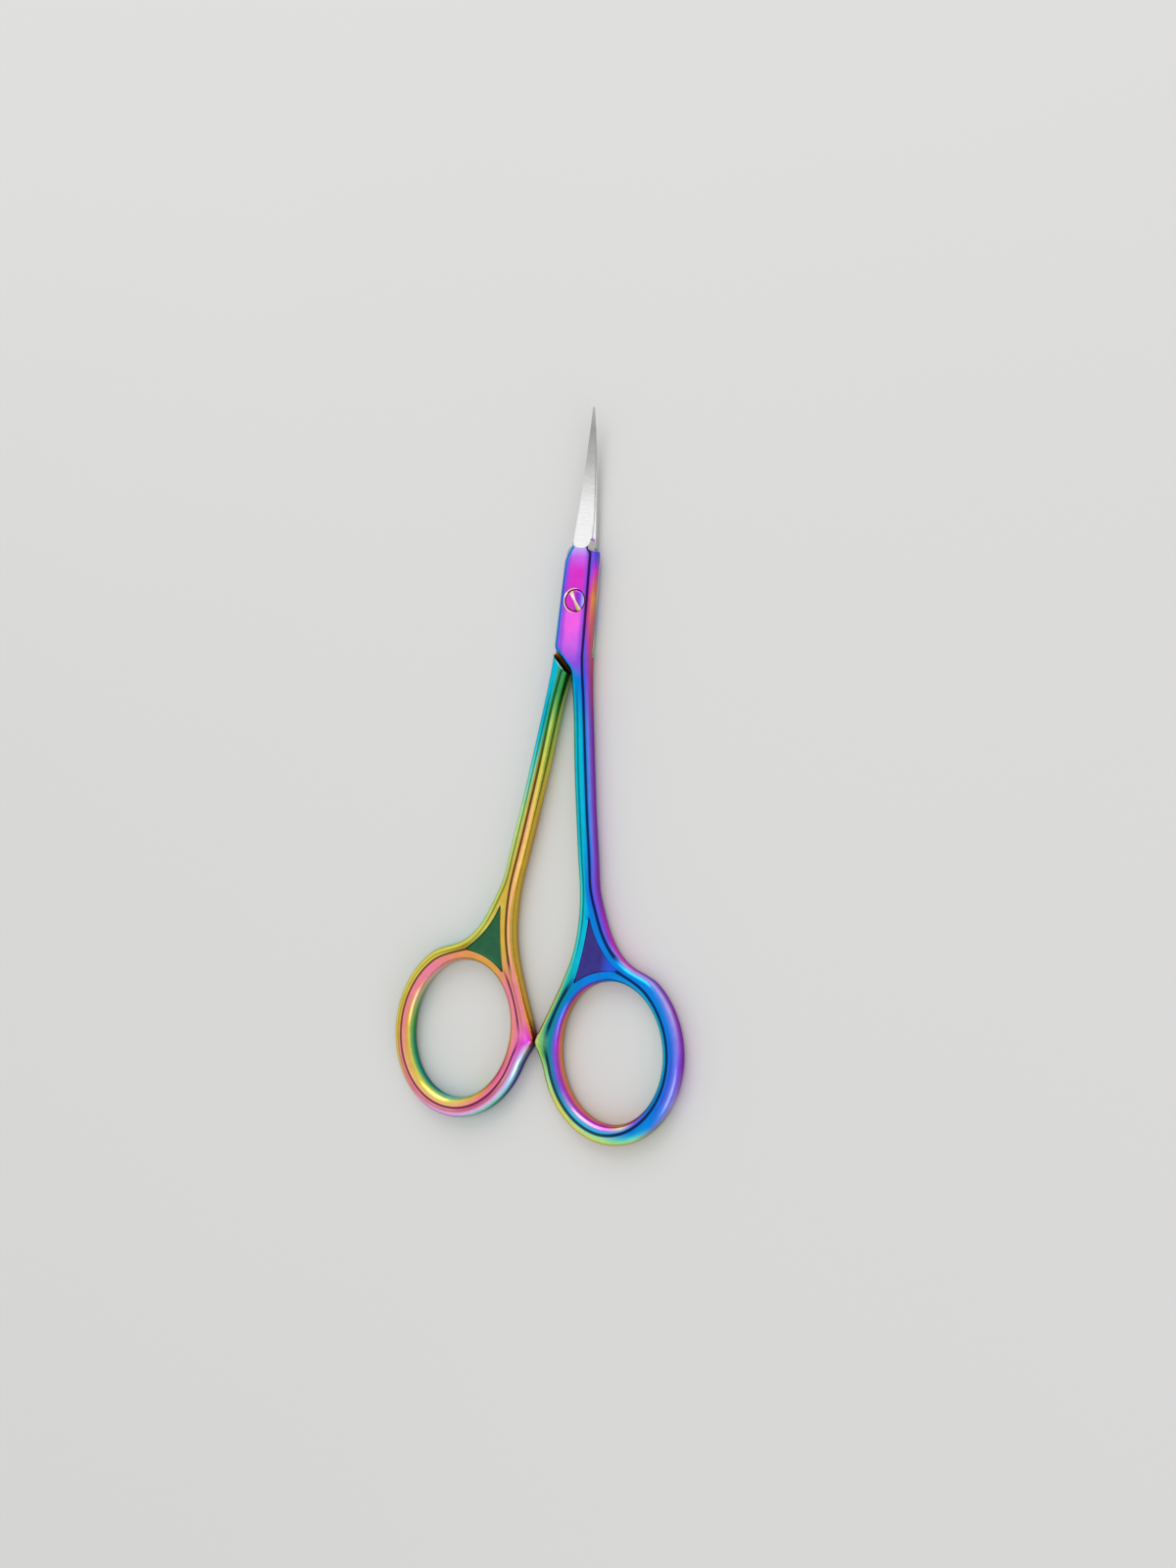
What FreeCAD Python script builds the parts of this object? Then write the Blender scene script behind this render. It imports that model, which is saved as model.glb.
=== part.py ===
import FreeCAD, Part
import math
import os
from FreeCAD import Vector

# Whole object, millimetres. X is across, Y points to the blade tips, Z is up.
# The origin is on the pivot axis, on the surface that the closed scissors lie on.
tip_reach = 31.1        # pivot axis to the blade tips
ring_reach = 83.9       # pivot axis to the lowest point of the rings
thick = 3.2             # handles, and both halves together at the pivot
half_gap = 0.1          # running gap between the two halves
nub_gap = 0.08          # between the two stop nubs when closed
edge_round = 1.3        # rounding of all coated edges
round_limit_share = 0.43    # of the thickness or of the narrowest stretch

# Finger rings and their webs
hole_wide = 17.9
hole_long = 22.0
bow_wide = 3.2          # width of the ring's bow in plan
nub_reach = 1.31        # from the plane where the nubs meet to the ring's bow
ring_tilt = 7.6         # degrees, tops lean to the middle
nub_round = 1.5
outer_meet = -42.0      # degrees round the ring, from its top, where the outer edge joins it
nub_meet = 118.0        # degrees round the ring where the nub's lower side joins it
web_sink = 0.3          # the flat three-cornered web lies this much under the rims

# Plan points of the handle. The shank's middle line is in shares of the way from its top to the flare,
# across and along; the other points are shares of the ring's outer half sizes, from its centre.
shank_shares = ((0.318, 0.344), (0.642, 0.672), (0.890, 0.902))
flare_share = (-0.543, 1.742)
outer_shares = ((-0.326, 1.530), (-0.144, 1.206), (0.160, 0.960))
inner_shares = ((-0.813, 0.650), (-0.683, 1.016), (-0.642, 1.389))
web_shares = ((-0.453, 1.439), (-0.528, 1.037), (-0.597, 0.678), (-0.321, 0.833), (0.033, 0.889),
              (-0.263, 1.143))     # a corner and the middle of the next side in turn

# Pivot block
block_head_wide = 5.5   # at its shoulders, on the blade side
block_foot_wide = 6.5   # at its lower end
block_shoulder = 7.0    # pivot axis to the shoulders
block_head = 9.4        # pivot axis to the end of the block
neck_wide = 3.9         # end of the block, where the blade leaves
block_foot = 7.9        # pivot axis to the start of the slanting step
step_turn = 45.0        # degrees, slant of the step
step_gap = 0.6          # between the step of one half and the block of the other
shoulder_round = 3.0
foot_round = 1.7
crotch_round = 2.0
crotch_side = 0.1       # across, where the step meets the shank

# Shank
shank_wide = 3.1
shank_start = 14.5      # pivot axis to the top of the free shank
shank_start_side = 0.73

# Blades
bend_start = 9.0        # pivot axis to where the blades begin to rise
tip_rise = 1.2
spine_tall = 1.15       # blade height at the back, at the block
spine_tip_tall = 0.32
edge_tall = 0.3         # blade height at the cutting edge, at the block
edge_tip_tall = 0.16
blade_root = 7.6        # pivot axis to where the blade starts inside the block
tip_wide = 0.14
blade_shares = (0.0, 0.1, 0.23, 0.4, 0.6, 0.8, 1.0)         # along the blade
spine_shares = (0.98, 0.88, 0.70, 0.54, 0.39, 0.22, 0.0)    # of the neck's half width
edge_shares = (0.6, 0.62, 0.64, 0.5, 0.355, 0.19, 0.0)
run_out_wide = 3.3      # rounded start of the ground blade
run_out_reach = 10.15   # pivot axis to its centre
run_out_side = 0.1

# Pivot screw
head_wide = 3.2
head_tall = 0.65
head_low = 0.05         # head under the block's face
head_bevel = 0.12
seat_gap = 0.02
recess_wide = 3.66
recess_bevel = 0.12
stem_wide = 2.2
bore_gap = 0.05         # stem in the front half, on the radius
thread_gap = 0.02       # stem in the back half, on the radius
tail_low = 0.15         # stem's end inside the underside
slot_wide = 0.42
slot_end_wide = 0.78
slot_deep = 0.36
slot_turn = 31.0        # degrees from the long axis

mid = thick / 2
hole_x, hole_y = hole_wide / 2, hole_long / 2
bow_x, bow_y = hole_x + bow_wide, hole_y + bow_wide
lean = math.radians(ring_tilt)
ring_drop = math.hypot(bow_x * math.sin(lean), bow_y * math.cos(lean))
ring_side = math.hypot(bow_x * math.cos(lean), bow_y * math.sin(lean))
ring_mid = Vector(nub_reach + ring_side, ring_drop - ring_reach)
shank_top = Vector(shank_start_side + shank_wide / 2, -shank_start)
up = Vector(0, 0, 1)
long_way = Vector(-math.sin(lean), math.cos(lean))
cross_way = up.cross(long_way)
rounding = min(edge_round, round_limit_share * min(thick, bow_wide, shank_wide))
far = tip_reach + ring_reach


def by_ring(shares):
    return [ring_mid + Vector(x * bow_x, y * bow_y) for x, y in shares]


def shank_line(side):
    flare = by_ring([flare_share])[0]
    way = flare - shank_top
    middle = [shank_top] + [shank_top + Vector(x * way.x, y * way.y) for x, y in shank_shares] + [flare]
    return [point + Vector(side * shank_wide / 2, 0) for point in middle]


def ring_point(turn):
    angle = math.radians(turn)
    return ring_mid + long_way * (bow_y * math.cos(angle)) + cross_way * (bow_x * math.sin(angle))


def ring_heading(turn):
    angle = math.radians(turn)
    return cross_way * (bow_x * math.cos(angle)) - long_way * (bow_y * math.sin(angle))


def oval(x_half, y_half):
    return Part.Ellipse(ring_mid + long_way * y_half, ring_mid + cross_way * x_half, ring_mid)


def unit(way):
    return way * (1 / way.Length)


def turned(way, angle):
    return FreeCAD.Rotation(up, math.degrees(angle)).multVec(way)


def smooth(points, first_way, last_way):
    curve = Part.BSplineCurve()
    curve.interpolate(Points=points, InitialTangent=unit(first_way), FinalTangent=unit(last_way))
    return curve.toShape()


def rounded_line(points, rounds):
    edges, start = [], points[0]
    for before, here, after, size in zip(points, points[1:], points[2:], rounds):
        back, ahead = unit(before - here), unit(after - here)
        half = back.getAngle(ahead) / 2
        first = here + back * (size / math.tan(half))
        last = here + ahead * (size / math.tan(half))
        crown = here + unit(back + ahead) * (size / math.sin(half) - size)
        edges += [Part.makeLine(start, first), Part.Arc(first, crown, last).toShape()]
        start = last
    return edges + [Part.makeLine(start, points[-1])]


def slab(edges, low, high):
    face = Part.Face(Part.Wire(Part.__sortEdges__(edges)))
    face.translate(up * low)
    return face.extrude(up * (high - low))


def rod(wide, low, high):
    return Part.makeCylinder(wide / 2, high - low, up * low)


foot = Vector(-block_foot_wide / 2, -block_foot)
step_way = turned(Vector(1, 0), -math.radians(step_turn))
crotch = foot + step_way * ((crotch_side - foot.x) / step_way.x)
shoulder = Vector(block_head_wide / 2, block_shoulder)
neck = Vector(neck_wide / 2, block_head)


def flip(point):
    return Vector(-point.x, point.y)


def outline():
    outer = shank_line(1) + by_ring(outer_shares)
    inner = by_ring(inner_shares) + shank_line(-1)[::-1]
    right = [neck, shoulder, flip(foot)]
    left = [inner[-1], crotch, foot, flip(shoulder), flip(neck)]
    ring_start, ring_end = ring_point(outer_meet), ring_point(nub_meet)
    nub_mid = Vector(nub_gap / 2 + nub_round, ring_mid.y)
    rim, low = inner[0] - nub_mid, ring_end - nub_mid
    rim_spoke = turned(unit(rim), math.acos(nub_round / rim.Length)) * nub_round
    low_spoke = turned(unit(low), -math.acos(nub_round / low.Length)) * nub_round
    nub_top = nub_mid + unit(rim_spoke + low_spoke) * nub_round
    ring_turns = math.radians(nub_meet), math.radians(outer_meet) + 2 * math.pi
    ring_arc = Part.ArcOfEllipse(oval(bow_x, bow_y), *ring_turns)
    edges = rounded_line(right, [shoulder_round])
    outer_ways = right[-1] - right[-2], -ring_heading(outer_meet)
    edges.append(smooth([right[-1]] + outer + [ring_start], *outer_ways))
    edges.append(ring_arc.toShape())
    edges.append(smooth([ring_end, nub_mid + low_spoke], -ring_heading(nub_meet), low_spoke - low))
    edges.append(Part.Arc(nub_mid + low_spoke, nub_top, nub_mid + rim_spoke).toShape())
    edges.append(smooth([nub_mid + rim_spoke] + inner, rim - rim_spoke, crotch - left[0]))
    edges += rounded_line(left, [crotch_round, foot_round, shoulder_round])
    edges.append(Part.makeLine(left[-1], right[0]))
    return edges


def coated_blank():
    hole = Part.Wire([oval(hole_x, hole_y).toShape()])
    body = slab(outline(), 0, thick).cut(slab(hole.Edges, -mid, thick + mid))
    level = [e for e in body.Edges if e.BoundBox.ZLength < rounding]
    rims = [e for e in level if e.BoundBox.YMin < block_shoulder]
    body = body.makeFillet(rounding, rims)
    web = by_ring(web_shares)
    sides = zip(web[0::2], web[1::2], web[2::2] + web[:1])
    loop = [Part.Arc(*side).toShape() for side in sides]
    for low, high in ((thick - web_sink, far), (-far, web_sink)):
        body = body.cut(slab(loop, low, high))
    return body


def rise(reach):
    return max(reach - bend_start, 0) ** 2 / (tip_reach - bend_start) ** 2 * tip_rise


def mating_solid(side):
    # All room on the other half's side of the surface that the halves turn on.
    # It is a surface of revolution about the pivot, so the bent blades never meet while they turn.
    outer = tip_reach + bend_start
    points = [Vector(r, 0, rise(r)) for r in (bend_start, (bend_start + outer) / 2, outer)]
    bend = Part.Arc(*points).toShape()
    ends = [Vector(outer, 0, -side * thick * 2), Vector(0, 0, -side * thick * 2), Vector(0, 0, 0)]
    corners = [bend.Vertexes[-1].Point] + ends + [bend.Vertexes[0].Point]
    lines = [Part.makeLine(a, b) for a, b in zip(corners, corners[1:])]
    face = Part.Face(Part.Wire(Part.__sortEdges__([bend] + lines)))
    face.translate(up * (mid + side * half_gap / 2))
    return face.revolve(Vector(0, 0, 0), up, 360)


def other_layer(side):
    # The mating solid on the blade side of the slanting step.
    way = Vector(-side * step_way.x, step_way.y)
    out = Vector(-side * step_way.y, -step_way.x)
    start = Vector(-side * foot.x, foot.y) + out * step_gap
    ends = [start + way * far, start - way * far]
    corners = ends + [end - out * far for end in reversed(ends)]
    loop = [Part.makeLine(a, b) for a, b in zip(corners, corners[1:] + corners[:1])]
    return mating_solid(side).common(slab(loop, -far, far))


def blade(side):
    wires = []
    for along, spine, edge in zip(blade_shares, spine_shares, edge_shares):
        y = blade_root + along * (tip_reach - blade_root)
        spare = (neck_wide - tip_wide) / 2
        back_x = -side * (tip_wide / 2 + spare * spine)
        edge_x = side * (tip_wide / 2 + spare * edge)
        base = mid + rise(y) + side * half_gap / 2
        back_z = base + side * (spine_tall + along * (spine_tip_tall - spine_tall))
        edge_z = base + side * (edge_tall + along * (edge_tip_tall - edge_tall))
        under = base - side * spine_tall / 2
        spots = [(back_x, under), (edge_x, under), (edge_x, edge_z), (back_x, back_z), (back_x, under)]
        wires.append(Part.makePolygon([Vector(x, y, z) for x, z in spots]))
    return Part.makeLoft(wires, True, False)


def half(blank, side):
    body = blank.copy()
    if side < 0:
        body.rotate(up * mid, Vector(0, 1, 0), 180)
    start = Vector(side * run_out_side, run_out_reach, mid)
    run_out = Part.makeCylinder(run_out_wide / 2, thick, start, up * side)
    body = body.cut(run_out).fuse(blade(side)).cut(other_layer(side))
    return body


def screw():
    top = thick - head_low
    head = rod(head_wide, top - head_tall, top)
    rim = [e for e in head.Edges if e.BoundBox.ZMin > top - head_bevel]
    head = head.makeChamfer(head_bevel, rim)
    shape = head.fuse(rod(stem_wide, tail_low, top - head_tall + head_bevel))
    reach = head_wide / 2 + head_bevel
    spots = [(-slot_end_wide, -reach), (slot_end_wide, -reach), (slot_wide, 0), (slot_end_wide, reach),
             (-slot_end_wide, reach), (-slot_wide, 0)]
    corners = [turned(Vector(x / 2, y), math.radians(slot_turn)) for x, y in spots]
    loop = [Part.makeLine(a, b) for a, b in zip(corners, corners[1:] + corners[:1])]
    return shape.cut(slab(loop, top - slot_deep, far))


blank = coated_blank()
seat = thick - head_low - head_tall - seat_gap
lip_start = up * (thick - recess_bevel)
recess_lip = Part.makeCone(recess_wide / 2, recess_wide / 2 + recess_bevel, recess_bevel, lip_start)
front = half(blank, 1)
for tool in (rod(recess_wide, seat, far), recess_lip, rod(stem_wide + 2 * bore_gap, -far, far)):
    front = front.cut(tool)
back = half(blank, -1).cut(rod(stem_wide + 2 * thread_gap, -far, far))

os.makedirs("parts", exist_ok=True)
for name, shape in (("front_half", front), ("back_half", back), ("pivot_screw", screw())):
    shape = shape.removeSplitter()
    print(name, shape.isValid(), len(shape.Solids), round(shape.Volume, 2), shape.BoundBox)
    shape.Solids[0].exportStep("parts/" + name + ".step")
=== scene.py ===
import bmesh
import bpy
import math
import numpy as np
from mathutils import Matrix, Vector


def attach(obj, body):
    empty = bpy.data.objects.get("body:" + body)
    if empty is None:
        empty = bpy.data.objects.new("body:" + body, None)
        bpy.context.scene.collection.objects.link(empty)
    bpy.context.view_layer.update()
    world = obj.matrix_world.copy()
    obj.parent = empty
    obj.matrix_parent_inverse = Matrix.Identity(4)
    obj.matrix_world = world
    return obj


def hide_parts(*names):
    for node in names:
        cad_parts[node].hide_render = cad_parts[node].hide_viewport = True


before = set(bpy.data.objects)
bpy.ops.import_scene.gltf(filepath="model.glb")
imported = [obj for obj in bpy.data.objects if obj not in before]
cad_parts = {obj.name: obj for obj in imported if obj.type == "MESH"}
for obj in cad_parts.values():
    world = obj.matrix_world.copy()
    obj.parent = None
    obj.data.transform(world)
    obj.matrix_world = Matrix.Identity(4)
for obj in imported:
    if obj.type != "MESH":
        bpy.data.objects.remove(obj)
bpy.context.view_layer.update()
mm = 0.001
scene = bpy.context.scene


def linear(rgb):
    share = np.asarray(rgb, float) / 255
    return np.where(share <= 0.04045, share / 12.92, ((share + 0.055) / 1.055) ** 2.4)


def link(name, data):
    piece = bpy.data.objects.new(name, data)
    scene.collection.objects.link(piece)
    return piece


def settle(piece):   # modifiers become plain mesh
    graph = bpy.context.evaluated_depsgraph_get()
    mesh = bpy.data.meshes.new_from_object(piece.evaluated_get(graph))
    piece.modifiers.clear()
    piece.data = mesh


def rework(mesh, change):   # edits the mesh and counts the edges that are left open
    work = bmesh.new()
    work.from_mesh(mesh)
    change(work)
    loose = sum(not e.is_manifold for e in work.edges)
    work.to_mesh(mesh)
    work.free()
    return loose


def faceOut(work):
    bmesh.ops.recalc_face_normals(work, faces=work.faces)


def weld(work):
    touching = 1e-8
    bmesh.ops.remove_doubles(work, verts=work.verts, dist=touching)
    faceOut(work)


def dropLoose(work):
    bmesh.ops.delete(work, geom=[v for v in work.verts if not v.link_faces], context="VERTS")


def mend(work):   # after the cuts: no slivers, and no faces with many corners
    tiny = 1e-7
    bmesh.ops.remove_doubles(work, verts=work.verts, dist=tiny)
    bmesh.ops.dissolve_degenerate(work, edges=work.edges, dist=tiny)
    bmesh.ops.triangulate(work, faces=[f for f in work.faces if len(f.verts) > 4])


def meshFrom(name, spots, faces, materials=(), slots=None):   # spots in millimetres
    mesh = bpy.data.meshes.new(name)
    mesh.from_pydata([Vector(s) * mm for s in spots], [], faces)
    for material in materials:
        mesh.materials.append(material)
    if slots is not None:
        mesh.polygons.foreach_set("material_index", slots)
    rework(mesh, weld)
    return mesh


def loft(name, loops, materials, slots=None):   # walls from each loop of points to the next, then both ends
    count, last = len(loops[0]), len(loops[0]) * (len(loops) - 1)
    faces = [(r + i, r + (i + 1) % count, r + count + (i + 1) % count, r + count + i)
             for r in range(0, last, count) for i in range(count)]
    faces += [tuple(range(count)), tuple(range(last, last + count))]
    return link(name, meshFrom(name, [spot for loop in loops for spot in loop], faces, materials, slots))


def lathe(name, profile, materials, slots, steps=96):   # closed: the profile starts and ends on the axis
    spots, faces, marks = [], [], []
    for r, z in profile:
        spots += [(r * math.cos(a), r * math.sin(a), z) for a in np.arange(steps) * 2 * math.pi / steps]
    for row in range(len(profile) - 1):
        a, b = row * steps, (row + 1) * steps
        for i in range(steps):
            j = (i + 1) % steps
            corners = [a + i, a + j, b + j, b + i]
            if profile[row][0] == 0:
                corners = [a, b + j, b + i]
            if profile[row + 1][0] == 0:
                corners = [a + i, a + j, b]
            faces.append(corners)
            marks.append(slots[row])
    mesh = meshFrom(name, spots, faces, materials, marks)
    rework(mesh, dropLoose)
    return link(name, mesh)


def smooth(piece, sharpest):
    piece.data.shade_smooth()
    piece.data.set_sharp_from_angle(angle=math.radians(sharpest))


def carve(piece, cutter):
    cut = piece.modifiers.new("cut", "BOOLEAN")
    cut.operation = "DIFFERENCE"
    cut.solver = "EXACT"
    cut.material_mode = "TRANSFER"
    cut.object = cutter
    settle(piece)
    bpy.data.objects.remove(cutter)


def addNode(tree, kind, inputs=None, **settings):
    node = tree.nodes.new(kind)
    for key, value in settings.items():
        setattr(node, key, value)
    for key, value in (inputs or {}).items():
        if isinstance(value, bpy.types.NodeSocket):
            tree.links.new(value, node.inputs[key])
        else:
            node.inputs[key].default_value = value
    return node


def calc(tree, operation, first, second=0.0):
    return addNode(tree, "ShaderNodeMath", {0: first, 1: second}, operation=operation).outputs[0]


def product(tree, first, *others):
    for other in others:
        first = calc(tree, "MULTIPLY", first, other)
    return first


def scaled(tree, way, size):
    return addNode(tree, "ShaderNodeVectorMath", {0: way, "Scale": size}, operation="SCALE").outputs[0]


def added(tree, first, second):
    return addNode(tree, "ShaderNodeVectorMath", {0: first, 1: second}, operation="ADD").outputs[0]


def axes(tree, vector):
    return addNode(tree, "ShaderNodeSeparateXYZ", {0: vector}).outputs


def span(tree, value, low, high, start=0.0, end=1.0, kind="LINEAR"):
    parts = {"Value": value, 1: low, 2: high, 3: start, 4: end}
    return addNode(tree, "ShaderNodeMapRange", parts, interpolation_type=kind).outputs[0]


def between(tree, value, places, start=0.0, end=1.0, kind="LINEAR"):   # places in millimetres
    return span(tree, value, places[0] * mm, places[1] * mm, start, end, kind)


def opaque(tint):   # by its name, or a grey
    return (*linear(tints[tint]), 1) if isinstance(tint, str) else (tint, tint, tint, 1)


def ramp(tree, value, stops, kind="LINEAR"):   # stops: place and tint
    node = addNode(tree, "ShaderNodeValToRGB", {0: value})
    node.color_ramp.interpolation = kind
    steps = node.color_ramp.elements
    while len(steps) < len(stops):
        steps.new(1.0)
    for step, (place, tint) in zip(steps, stops):
        step.position = place
        step.color = opaque(tint)
    return node.outputs[0]


def stripe(tree, value, stops):   # soft-edged line where the value lies between the middle two stops
    return ramp(tree, value, list(zip(stops, (0.0, 1.0, 1.0, 0.0))), "EASE")


def mixed(tree, share, first, second, blend="MIX"):
    parts = {0: share, 6: first, 7: second}
    return addNode(tree, "ShaderNodeMix", parts, data_type="RGBA", blend_type=blend).outputs[2]


def shaded(tree, colour, tone):
    shade = addNode(tree, "ShaderNodeCombineColor", {0: tone, 1: tone, 2: tone}).outputs[0]
    return mixed(tree, 1.0, colour, shade, "MULTIPLY")


# Tints of the coat in film order, then the pale ones, among them painted highlights, and the deep ones, among
# them painted shade and dark reflections
tints = {
    "yellow": (232, 216, 92), "gold": (222, 182, 72), "orange": (234, 160, 84), "peach": (246, 184, 138),
    "salmon": (226, 118, 112), "pink": (243, 134, 164), "rose": (206, 70, 140), "magenta": (228, 58, 214),
    "hotPink": (255, 104, 244), "orchid": (212, 104, 244), "purple": (150, 56, 198),
    "violet": (132, 84, 232), "indigo": (66, 60, 146), "blue": (52, 92, 224), "azure": (14, 134, 228),
    "cyan": (14, 194, 222), "turquoise": (84, 222, 212), "teal": (16, 146, 148), "mint": (150, 230, 196),
    "green": (70, 160, 84), "lime": (196, 226, 118), "olive": (164, 154, 52), "cream": (247, 233, 204),
    "paleLime": (206, 240, 166), "paleCyan": (168, 236, 236), "lavender": (200, 184, 252),
    "lilac": (232, 174, 238), "white": (250, 246, 252), "ash": (176, 182, 170),
    "periwinkle": (118, 134, 240), "darkGold": (168, 122, 22), "brown": (74, 48, 18),
    "maroon": (84, 18, 48), "navy": (22, 10, 72), "deepTeal": (8, 74, 82), "deepGreen": (24, 88, 40),
    "webGreen": (50, 102, 72), "webIndigo": (64, 58, 138), "webBlue": (40, 84, 158),
    # the last tint, a near-black brown, is painted shade for the step wall and the recess wall
    "steel": (226, 226, 224), "paintedShade": (46, 36, 30),
}


# Fine unevenness that all the metal shares
grain = {"cloudDetail": 3, "dustDetail": 2, "dustFiner": 9, "spread": (0.3, 0.7),
         "bumpDeep": 0.02, "bumpShare": 0.15}


def makeGrain(g):
    tree = bpy.data.node_groups.new("fineGrain", "ShaderNodeTree")
    for name, kind in (("Place", "Vector"), ("Size", "Float")):
        tree.interface.new_socket(name, in_out="INPUT", socket_type="NodeSocket" + kind)
    for name in ("Tone", "Rough", "Height"):
        tree.interface.new_socket(name, in_out="OUTPUT", socket_type="NodeSocketFloat")
    given = tree.nodes.new("NodeGroupInput").outputs
    result = tree.nodes.new("NodeGroupOutput").inputs

    def noise(size, detail):
        parts = {"Vector": given["Place"], "Scale": size, "Detail": detail}
        return addNode(tree, "ShaderNodeTexNoise", parts).outputs[0]

    cloud = noise(given["Size"], g["cloudDetail"])
    dust = noise(product(tree, given["Size"], g["dustFiner"]), g["dustDetail"])
    tree.links.new(span(tree, cloud, *g["spread"]), result["Tone"])
    tree.links.new(span(tree, dust, *g["spread"]), result["Rough"])
    tree.links.new(dust, result["Height"])
    return tree


grainGroup = makeGrain(grain)
finishes = {
    "coat": {"size": 700, "rough": (0.16, 0.26), "toneSpan": 0.05},
    "web": {"size": 900, "rough": (0.28, 0.4), "toneSpan": 0.08},
    "plain": {"size": 900, "toneSpan": 0.06},
    "steel": {"size": 1200, "rough": (0.24, 0.36), "toneSpan": 0.03},
}


def startMaterial(name, glancing=0.6, metallic=1.0):   # coated metal stays deep at a glancing view
    material = bpy.data.materials.new(name)
    material.use_nodes = True
    tree = material.node_tree
    shader = tree.nodes["Principled BSDF"]
    shader.inputs["Metallic"].default_value = metallic
    shader.inputs["Specular Tint"].default_value = (glancing, glancing, glancing, 1)
    return material, tree, shader, addNode(tree, "ShaderNodeTexCoord").outputs


def finishMaterial(tree, shader, place, colour, size, rough, toneSpan):
    parts = {"Place": place["Object"], "Size": size}
    fine = addNode(tree, "ShaderNodeGroup", parts, node_tree=grainGroup).outputs
    tone = span(tree, fine["Tone"], 0, 1, 1 - toneSpan, 1 + toneSpan)
    tree.links.new(shaded(tree, colour, tone), shader.inputs["Base Color"])
    tree.links.new(span(tree, fine["Rough"], 0, 1, *rough), shader.inputs["Roughness"])
    parts = {"Height": fine["Height"], "Distance": grain["bumpDeep"] * mm, "Strength": grain["bumpShare"]}
    tree.links.new(addNode(tree, "ShaderNodeBump", parts).outputs[0], shader.inputs["Normal"])


# Rainbow coat: painted tints, with fine dark lines along the round rods that are painted dark reflections
coatLook = {
    "front": {
        "line": (0.20, 0.34, 0.52, 0.64), "darkReflectionTints": ((0.0, "navy"), (1.0, "navy")), "blockShift": 0.2,
        "ringLine": (0.36, 0.44, 0.52, 0.60), "ringShift": 0.17, "crownReflectionTint": "deepTeal",
        "soft": (0.97, 0.98, 0.99, 1.0), "ringSoft": (0.84, 0.88, 0.91, 0.95), "softShare": 0.5,
        "softReflectionTints": ((0.0, "deepTeal"), (1.0, "teal")), "blockStart": -12.5,
        "flat": ((0.0, "azure"), (0.1, "violet"), (0.24, "orchid"), (0.4, "hotPink"), (0.5, "hotPink"),
                 (0.62, "magenta"), (0.82, "magenta"), (0.92, "orchid"), (1.0, "lavender")),
    },
    "back": {
        "line": (0.04, 0.11, 0.28, 0.36), "blockShift": 0.0,
        "darkReflectionTints": ((0.0, "maroon"), (0.35, "brown"), (0.7, "brown"), (0.85, "deepGreen"),
                      (1.0, "deepTeal")),
        "ringLine": (0.42, 0.47, 0.52, 0.58), "ringShift": 0.0, "crownReflectionTint": "deepGreen",
        "soft": (0.60, 0.68, 0.74, 0.82), "ringSoft": (0.24, 0.30, 0.34, 0.40), "softShare": 0.6,
        "softReflectionTints": ((0.0, "darkGold"), (0.6, "darkGold"), (0.8, "green"), (1.0, "deepGreen")),
        "blockStart": -6.0, "flat": ((0.0, "green"), (0.3, "teal"), (0.6, "azure"), (1.0, "violet")),
    },
}
# Where each part of the look fades: places in millimetres, then painted values and normals
coatAt = {
    "rodEnd": (-67, -62), "block": (-12.5, 8.6), "border": (1.0, 1.75), "blockFade": 2.5,
    "blockTop": (-15, -9), "ringSide": (12, 22), "tinted": (-84, -8), "thinTop": (-18, -11),
    "thinLow": (-60, -50), "ringRim": (0.45, 0.55), "land": (0.2, 0.6), "level": (0.955, 0.995),
    "upper": (0.05, 0.3), "borderShare": 0.75, "lineShare": 0.92, "thinShare": 0.75,
}


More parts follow.
